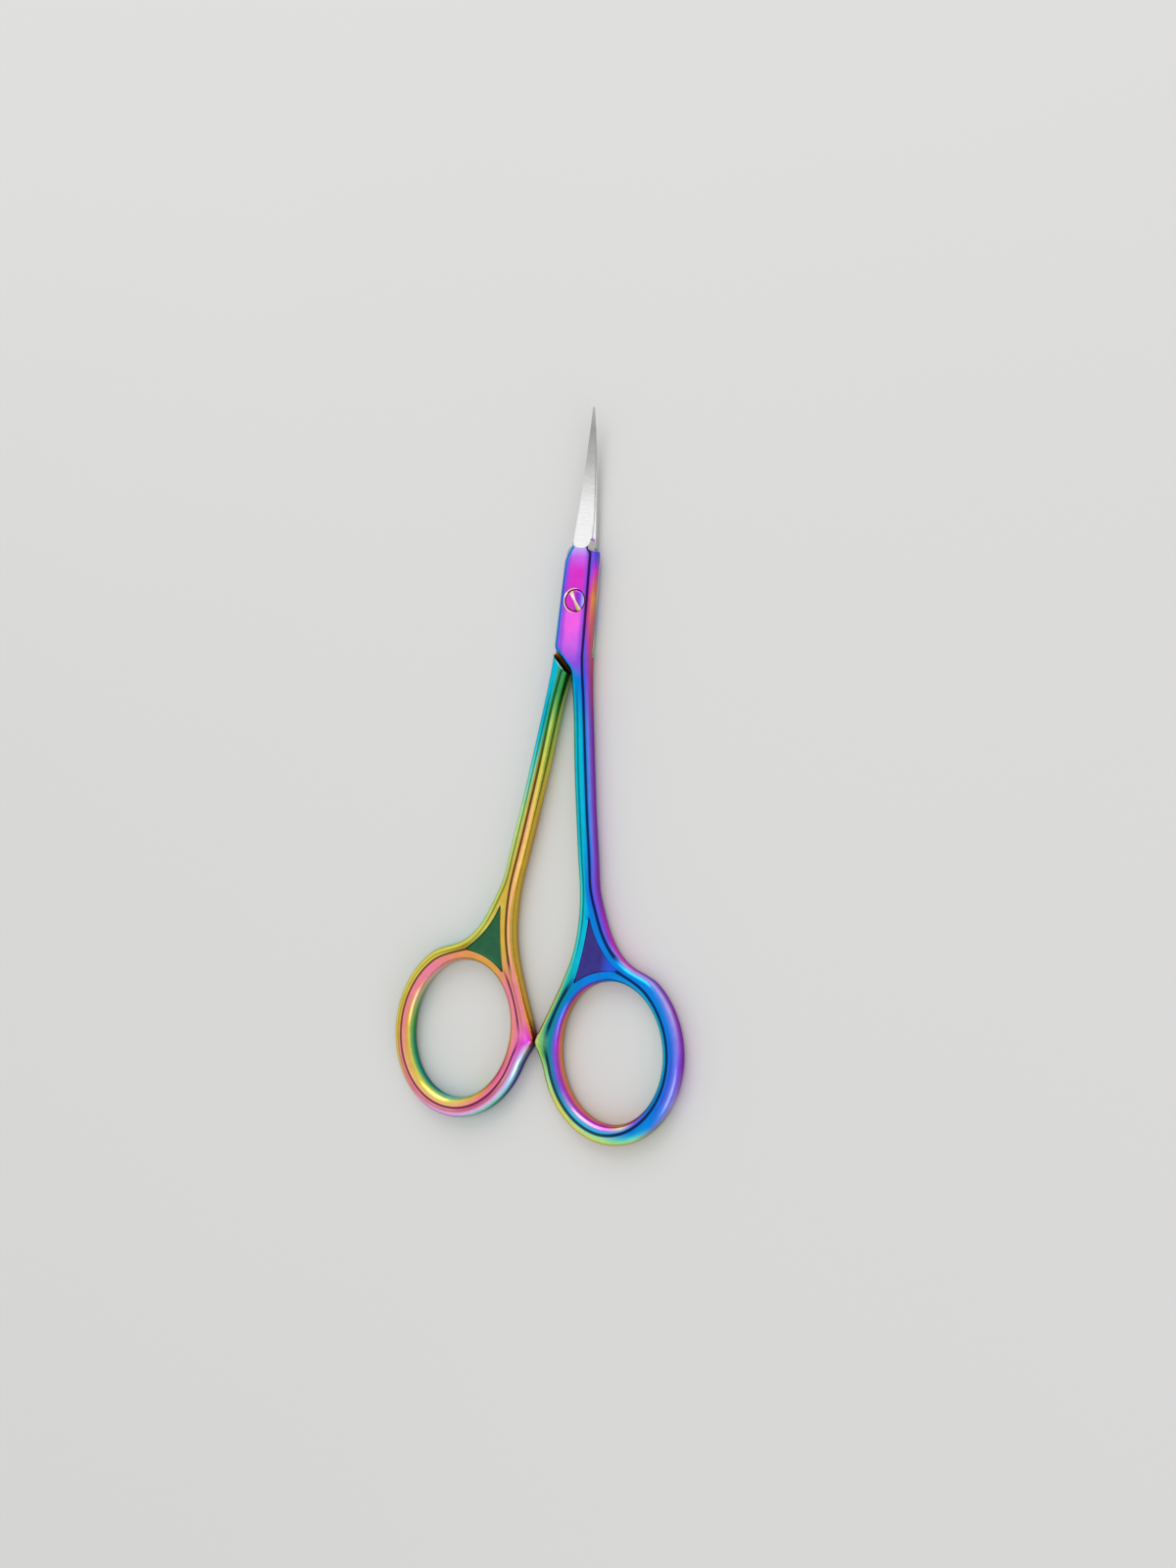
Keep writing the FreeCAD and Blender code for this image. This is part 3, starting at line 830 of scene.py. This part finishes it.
def bladeSection(y, share, back, edge):   # across the blade and up from its inner face
    b, wide = blade, back + edge
    tall, thin = (ends[0] + share * (ends[1] - ends[0]) for ends in (b["spineTall"], b["edgeTall"]))
    tall += b["rootTall"] * max(1 - share / b["rootFade"], 0) ** 2
    inside = np.clip((b["hiddenTo"] - y) / b["hiddenFade"], 0, 1)   # root stays off the block's face
    inside = b["hidden"] * inside
    corner = min(b["corner"], wide * b["cornerShare"])
    cut, ease = corner * b["cornerCut"], b["edgeRound"]
    section = [(-back + cut, inside), (edge - corner * ease, inside), (edge, inside + thin * ease)]
    section += [(edge - wide * inset, thin * height) for inset, height in b["bevel"]]
    start = edge - wide * b["bevel"][-1][0]
    for t in b["hollowAt"]:
        sag = b["hollow"] * 4 * t * (1 - t) * min(1, wide)
        section.append((start + (corner - back - start) * t, thin + (tall - thin) * t - sag))
    section += [(corner - back, tall), (cut - back, tall - corner * b["cornerDrop"][0])]
    return section + [(-back, tall - corner * b["cornerDrop"][1]), (-back, inside + cut)]


def makeBlade(side, sign):
    b, mid = blade, handle["thick"] / 2
    spineLine, edgeLine = smoothShares(b["spine"]), smoothShares(b["edge"])
    spare = (b["neck"] - b["tipWide"]) / 2
    loops = []
    for y in np.linspace(b["root"], b["tip"], b["rows"]):
        share = (y - b["shareFrom"]) / (b["tip"] - b["shareFrom"])
        back, edge = (b["tipWide"] / 2 + spare * np.interp(share, *line) for line in (spineLine, edgeLine))
        sway = b["sway"] * (1 - share ** 3)
        lift = max(y - b["bendStart"], 0) ** 2 / (b["tip"] - b["bendStart"]) ** 2 * b["tipRise"]
        section = bladeSection(y, share, back, edge)
        loops.append([(sign * x + sway, y, mid + lift + sign * (b["gap"] / 2 + z)) for x, z in section])
    piece = loft(side + "Blade", loops, (steel[side],))
    smooth(piece, b["sharpest"])
    return piece


# Pivot screw: low domed head with a slot that widens to its ends
screw = {
    "head": 1.68, "top": 3.15, "seat": 2.5, "stem": 1.1, "tail": 0.15, "stemRound": 0.12, "headRound": 0.05,
    "dome": ((0, 0.17), (0.03, 0.11), (0.12, 0.06)), "crown": ((0.72, 0.02), (0.4, 0)), "sharpest": 35,
    "slot": 0.32, "slotMid": 0.72, "slotEnd": 0.78, "slotDeep": 0.36, "slotTurn": 31.0, "slotOver": 0.2,
    "recess": 1.83, "lip": 0.12, "stemGap": 0.05, "seatGap": 0.02, "threadGap": 0.02, "over": 0.5,
    "through": 1.0,
    "tints": ((0.0, "magenta"), (0.45, "magenta"), (0.62, "purple"), (0.8, "violet"), (1.0, "lavender")),
    "slotTints": ((0.0, "yellow"), (0.3, "cream"), (0.7, "white"), (1.0, "yellow")), "tinted": (-1.6, 1.6),
    "rough": (0.16, 0.26), "slotRough": (0.25, 0.35),
}


def makeScrew(s):
    coat = makePlain("screwHead", s["tints"], "X", s["tinted"], s["rough"])
    slotCoat = makePlain("screwSlot", s["slotTints"], "Y", s["tinted"], s["slotRough"])
    stem, head, top, seat, tail = (s[k] for k in ("stem", "head", "top", "seat", "tail"))
    profile = [(0, tail), (stem - s["stemRound"], tail), (stem, tail + s["stemRound"]), (stem, seat),
               (head - s["headRound"], seat), (head, seat + s["headRound"])]
    profile += [(head - inset, top - drop) for inset, drop in s["dome"]]
    profile += [(head * share, top - drop) for share, drop in s["crown"]] + [(0, top)]
    piece = lathe("pivotScrewHead", profile, (coat,), [0] * (len(profile) - 1))
    reach = head + s["slotOver"]
    turn = Matrix.Rotation(math.radians(s["slotTurn"]), 3, "Z")
    wide, middle = s["slotEnd"], s["slotEnd"] * s["slotMid"]
    widths = [(wide, -reach), (middle, -reach / 2), (s["slot"], 0), (middle, reach / 2), (wide, reach)]
    ring = [(w / 2, y) for w, y in widths] + [(-w / 2, y) for w, y in widths[::-1]]
    levels = (top - s["slotDeep"], top + s["through"])
    loops = [[turn @ Vector((x, y, z)) for x, y in ring] for z in levels]
    carve(piece, loft("slotRoom", loops, (slotCoat,)))
    smooth(piece, s["sharpest"])
    return piece


def screwRoom(sign):   # counterbore and turning bore in the front half, threaded bore in the back half
    s, top = screw, handle["thick"]
    if sign > 0:
        bore, seat = s["stem"] + s["stemGap"], s["seat"] - s["seatGap"]
        profile = [(0, -s["through"]), (bore, -s["through"]), (bore, seat), (s["recess"], seat),
                   (s["recess"], top - s["lip"]), (s["recess"] + s["lip"] + s["over"], top + s["over"]),
                   (0, top + s["over"])]
        return lathe("recess", profile, (recessWall, recessLip), [0, 0, 0, 0, 1, 1])
    bore, low, high = s["stem"] + s["threadGap"], -s["over"], top + s["through"]
    profile = [(0, low), (bore + s["lip"] - low, low), (bore, s["lip"]), (bore, high), (0, high)]
    return lathe("recess", profile, (recessWall, recessLip), [1, 1, 0, 0])


# Tints of the coat. Each row: a place on the edge, then the tints from the crown over the side to below. The
# white, cream and pale tints in the rows include painted highlights, and the deep tints where the two nubs
# meet are painted shade.
frontEdge = [
    (2.3, 9.2, "violet violet purple purple purple"), (2.9, 7.4, "violet violet blue violet violet"),
    (2.95, 5.0, "violet violet magenta magenta magenta"), (2.97, 2.6, "violet magenta salmon salmon rose"),
    (3.0, 0.4, "violet rose orange orange salmon"), (3.1, -2.5, "violet rose salmon salmon rose"),
    (3.2, -6.5, "violet violet rose salmon salmon"), (3.5, -12, "azure blue violet rose salmon"),
    (4.6, -20, "cyan azure periwinkle purple rose"), (6.8, -35, "cyan azure periwinkle purple magenta"),
    (8.5, -46, "azure blue violet purple rose"), (11, -52.5, "azure azure violet magenta salmon"),
    (14.6, -56, "azure azure lavender magenta salmon"), (18.5, -58.2, "azure azure lavender violet rose"),
    (22.6, -62.3, "azure periwinkle lavender purple rose"),
    (25.69, -70, "blue periwinkle violet purple magenta"),
    (24.8, -76, "blue periwinkle periwinkle lavender lilac"),
    (22.3, -80, "azure azure periwinkle ash lime"), (19, -82.4, "azure turquoise paleLime lime olive"),
    (13.7, -83.9, "mint lime yellow gold gold"), (9, -83, "mint yellow yellow gold gold"),
    (5.2, -79.6, "lime yellow yellow gold gold"), (3.0, -75, "mint lime yellow gold peach"),
    (0.8, -72, "green lime yellow yellow olive"), (0.06, -69.8, "lime lime lime olive maroon"),
    (1.2, -66.5, "teal lime yellow olive brown"), (3.0, -61.5, "teal lime olive olive brown"),
    (4.7, -56, "cyan turquoise lime olive deepGreen"), (5.5, -51, "cyan turquoise mint olive deepGreen"),
    (5.2, -45, "cyan turquoise mint lime green"), (3.7, -35, "cyan cyan mint lime deepGreen"),
    (1.5, -20, "cyan cyan turquoise mint deepGreen"), (0.7, -14.5, "azure cyan turquoise teal deepTeal"),
    (-0.6, -10.7, "azure azure teal teal deepTeal"), (-2.2, -9.0, "violet azure teal turquoise deepTeal"),
    (-3.2, -7.2, "violet azure teal turquoise teal"), (-3.1, -3, "violet azure azure azure teal"),
    (-2.9, 1.5, "violet blue azure azure azure"), (-2.85, 5.5, "violet azure azure azure azure"),
    (-2.0, 8.2, "lavender azure azure white white"),
]
frontHole = [
    (12.3, -58.8, "azure azure azure purple peach"), (18.5, -62, "azure cyan paleCyan paleCyan paleCyan"),
    (22.45, -70, "azure cyan turquoise turquoise cyan"), (20.8, -76.5, "azure azure cyan turquoise teal"),
    (19.0, -79.4, "azure violet rose salmon orange"), (16.6, -80.7, "azure cream gold salmon orange"),
    (13.7, -80.9, "cyan hotPink magenta orange orange"), (9, -79.4, "cyan lilac magenta orange orange"),
    (5.8, -75.5, "teal violet magenta orange orange"), (4.55, -70, "teal violet magenta orange gold"),
    (6.2, -63, "teal azure purple orange gold"), (8.5, -60, "azure azure purple peach cream"),
]
backEdge = [
    (-1.6, 9.6, "white white white white white"), (-2.9, 7.6, "white white lavender lavender azure"),
    (-3.0, 2, "violet blue azure teal teal"), (-3.2, -7, "cyan cyan cyan cyan teal"),
    (-3.6, -12, "cyan cyan cyan azure azure"), (-4.6, -20, "cyan cyan cyan turquoise cyan"),
    (-5.7, -27, "mint turquoise turquoise paleCyan mint"), (-6.8, -35, "lime paleLime paleLime mint mint"),
    (-8.5, -46, "gold lime lime paleLime mint"), (-11, -52.5, "yellow lime paleLime mint turquoise"),
    (-14.6, -56, "olive yellow lime mint turquoise"), (-18.5, -58.2, "yellow yellow lime mint turquoise"),
    (-22.6, -62.3, "yellow yellow lime lime olive"), (-25.69, -70, "gold yellow lime lime olive"),
    (-24.8, -76, "pink yellow yellow cream olive"), (-21.5, -81, "pink pink cream cream peach"),
    (-17, -83.2, "pink lilac lilac cream lilac"), (-13.7, -83.9, "pink lilac lilac mint ash"),
    (-9.5, -83.1, "rose lilac mint mint teal"), (-6, -80.4, "rose lilac mint teal deepTeal"),
    (-3.8, -76.8, "pink lavender paleCyan indigo lavender"),
    (-1.8, -73.3, "hotPink lavender paleCyan indigo ash"), (-0.5, -71.2, "magenta lilac ash indigo ash"),
    (-0.06, -69.8, "hotPink magenta rose maroon navy"), (-1.2, -66.5, "pink pink orange gold olive"),
    (-3.0, -61.5, "pink pink orange gold olive"), (-4.7, -56, "gold peach gold gold olive"),
    (-5.5, -51, "gold peach gold gold gold"), (-5.2, -45, "gold peach gold gold gold"),
    (-3.7, -35, "gold peach gold gold gold"), (-2.5, -27, "olive yellow olive yellow yellow"),
    (-1.5, -20, "green lime olive lime lime"), (-0.7, -14.5, "green green deepGreen lime mint"),
    (0.6, -10.7, "green green deepGreen lime mint"), (3.2, -7.2, "teal teal cream cream cream"),
    (3.1, -3, "azure azure ash ash lavender"), (3.0, 2, "violet violet peach cream cream"),
    (2.85, 6, "violet violet lavender paleCyan cream"), (2.0, 8.2, "violet violet blue lavender lavender"),
]
backHole = [
    (-12.3, -58.8, "orange orange orange cream cream"), (-18.5, -62, "pink pink pink cream cream"),
    (-22.45, -70, "pink orange lime green teal"), (-20.5, -77, "peach gold lime teal teal"),
    (-17, -80, "peach yellow lime teal azure"), (-13.7, -80.9, "peach yellow mint turquoise azure"),
    (-9, -79.4, "pink orange yellow lime turquoise"), (-5.8, -75.5, "pink rose orange gold yellow"),
    (-4.55, -70, "pink orange orange gold gold"), (-6.2, -63, "pink pink orange gold gold"),
    (-8.5, -60, "orange gold gold cream cream"),
]
turnStep = 30
turnMarks = np.arange(0, 181, turnStep)   # degrees, from straight up to straight down
# Masks that the coat's material reads, in millimetres
masks = {"crownOut": 0.3, "crownHalf": 0.26, "crownFade": 0.21, "leftFade": 10, "rodShare": 0.92,
         "ringWide": 4.5, "ringFade": 1.0, "landFade": 0.2}


def outwardWays(line):
    way = np.roll(line, -1, axis=0) - np.roll(line, 1, axis=0)
    out = np.stack([way[:, 1], -way[:, 0]], axis=1)
    return out / np.linalg.norm(out, axis=1)[:, None]


def tintsAlong(plan, line, index):   # tint rows at each point's place along the line
    marks = nearest(np.array([row[:2] for row in plan]), line)[0]
    order = np.argsort(marks)
    rows = np.array([[tints[t] for t in plan[i][2].split()] for i in order], float)
    rows = np.concatenate([rows, rows[:, [1]], rows[:, [0]]], axis=1)
    result = np.empty((len(index), len(turnMarks), 3))
    for k in range(len(turnMarks)):
        for c in range(3):
            result[:, k, c] = np.interp(index, marks[order], rows[:, k, c], period=len(line))
    return result


def paintCoat(piece, sign, edgePlan, holePlan):
    mesh, m = piece.data, masks
    count = len(mesh.vertices)
    spots, ways = np.empty(count * 3), np.empty(count * 3)
    mesh.vertices.foreach_get("co", spots)
    mesh.vertices.foreach_get("normal", ways)
    spots, ways = spots.reshape(-1, 3) / mm, ways.reshape(-1, 3)
    edgeLine, edgeRim = wound(outline * (sign, 1), outlineRim, 1)
    holeLoop = wound(holeLine * (sign, 1), holeRim, -1)[0]
    edgeAt, edgeReach = nearest(spots[:, :2], edgeLine)
    holeAt, holeReach = nearest(spots[:, :2], holeLoop)
    edgeOut, rim = outwardWays(edgeLine)[edgeAt], edgeRim[edgeAt]
    onHole = holeReach < edgeReach
    out = np.where(onHole[:, None], outwardWays(holeLoop)[holeAt], edgeOut)
    turn = np.degrees(np.arctan2(np.maximum((ways[:, :2] * out).sum(axis=1), 0), ways[:, 2]))
    rows = np.where(onHole[:, None, None], tintsAlong(holePlan, holeLoop, holeAt),
                    tintsAlong(edgePlan, edgeLine, edgeAt))
    place = np.clip(np.searchsorted(turnMarks, turn, side="right") - 1, 0, len(turnMarks) - 2)
    share = ((turn - turnMarks[place]) / turnStep)[:, None]
    picked = np.arange(count)
    colour = rows[picked, place] * (1 - share) + rows[picked, place + 1] * share
    colour = np.column_stack([linear(colour), np.ones(count)]).astype(np.float32)
    mesh.attributes.new("coat", "FLOAT_COLOR", "POINT").data.foreach_set("color", colour.ravel())
    # the crown mask places a fine painted dark reflection just outside the crown
    crown = np.abs(rim - edgeReach - m["crownOut"])   # a fine line outside the crown, on the left only
    crown = np.clip((m["crownHalf"] - crown) / m["crownFade"], 0, 1)
    crown = crown * np.clip(1 - m["leftFade"] * edgeOut[:, 0], 0, 1)
    crown[rim < m["rodShare"] * handle["rodRim"]] = 0
    wide = edgeReach + holeReach
    values = {"crown": crown, "band": edgeReach / wide,   # nought at the ring's outer edge, one at its hole
              "ring": np.clip((m["ringWide"] - wide) / m["ringFade"], 0, 1),
              "land": np.clip((edgeReach - rim) / m["landFade"], 0, 1)}
    for name, value in values.items():
        mesh.attributes.new(name, "FLOAT", "POINT").data.foreach_set("value", value.astype(np.float32))


def makeHalf(side, sign, edgePlan, holePlan):
    forging = makeForging(side + "Forging", sign, coats[side], webs[side])
    carve(forging, layerCutter(sign))
    carve(forging, screwRoom(sign))
    carve(forging, runOutCutter(sign))
    if sign > 0:
        carve(forging, sideGrindCutter())
    loose = rework(forging.data, mend)
    smooth(forging, handle["sharpest"])
    paintCoat(forging, sign, edgePlan, holePlan)
    for piece in (forging, makeBlade(side, sign)):
        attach(piece, side)
        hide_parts(side + "_half")
    print(side, "half: faces", len(forging.data.polygons), "open edges", loose)


makeHalf("front", 1, frontEdge, frontHole)
makeHalf("back", -1, backEdge, backHole)
head = makeScrew(screw)
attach(head, "screw")
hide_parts("pivot_screw")
print("screw made")


# Floor and light
studio = {
    "floor": (206, 206, 205), "floorHalf": 3000, "floorTone": (0.985, 1.015), "floorRough": 0.75,
    "cloud": 6.0, "cloudDetail": 2, "sky": 0.9, "aim": (0, -0.025, 0),
    "lamps": {"key": {"energy": 1.5, "size": 0.45, "at": (-0.1, 0.5, 0.45)},
              "rim": {"energy": 0.5, "size": 0.35, "at": (0.5, -0.35, 0.3)}},
}


def makeStudio(look):
    half = look["floorHalf"]
    corners = [(-half, -half, 0), (half, -half, 0), (half, half, 0), (-half, half, 0)]
    material, tree, shader, place = startMaterial("paleFloor", glancing=1.0, metallic=0.0)
    parts = {"Vector": place["Object"], "Scale": look["cloud"], "Detail": look["cloudDetail"]}
    cloud = addNode(tree, "ShaderNodeTexNoise", parts).outputs[0]
    dark, light = ((*(linear(look["floor"]) * tone), 1) for tone in look["floorTone"])
    tree.links.new(mixed(tree, cloud, dark, light), shader.inputs["Base Color"])
    shader.inputs["Roughness"].default_value = look["floorRough"]
    floor = link("floor", meshFrom("floor", corners, [(0, 1, 2, 3)], (material,)))
    world = bpy.data.worlds.new("softSky")
    world.use_nodes = True
    sky = world.node_tree.nodes["Background"].inputs
    sky["Color"].default_value = (1, 1, 1, 1)
    sky["Strength"].default_value = look["sky"]
    scene.world = world
    for name, lamp in look["lamps"].items():
        light = bpy.data.lights.new(name, "AREA")
        light.energy = lamp["energy"]
        light.size = lamp["size"]
        bulb = link(name, light)
        bulb.location = lamp["at"]
        bulb.rotation_euler = (Vector(look["aim"]) - Vector(lamp["at"])).to_track_quat("-Z", "Y").to_euler()
    scene.view_settings.view_transform = "Standard"


makeStudio(studio)

# Camera: turned, tipped and rolled about the pivot, 410 mm away; the axis meets the picture at axisAt
view = {"turn": 27.965, "tip": -2.437, "roll": -5.536, "away": 410.45, "scale": 6.4164,
        "axisAt": (590.9, 613.4), "picture": (1200, 1600), "sensor": 36.0, "clip": (0.01, 20)}


def makeCamera(v):
    turn, tip, roll = (math.radians(v[k]) for k in ("turn", "tip", "roll"))
    about = Matrix.Rotation(roll, 3, "Z") @ Matrix.Rotation(tip, 3, "X") @ Matrix.Rotation(-turn, 3, "Y")
    lens = bpy.data.cameras.new("photoCamera")
    wide, tall = v["picture"]
    lens.sensor_width = v["sensor"]
    lens.lens = v["scale"] * v["away"] * lens.sensor_width / tall
    lens.shift_x = (wide / 2 - v["axisAt"][0]) / tall
    lens.shift_y = (v["axisAt"][1] - tall / 2) / tall
    lens.clip_start, lens.clip_end = v["clip"]
    camera = link("photoCamera", lens)
    pose = about.transposed().to_4x4()
    pose.translation = Vector((0, 0, handle["thick"] / 2 * mm)) + about.row[2] * v["away"] * mm
    camera.matrix_world = pose
    scene.camera = camera


makeCamera(view)
print("floor, light and camera made")
bpy.context.view_layer.update()
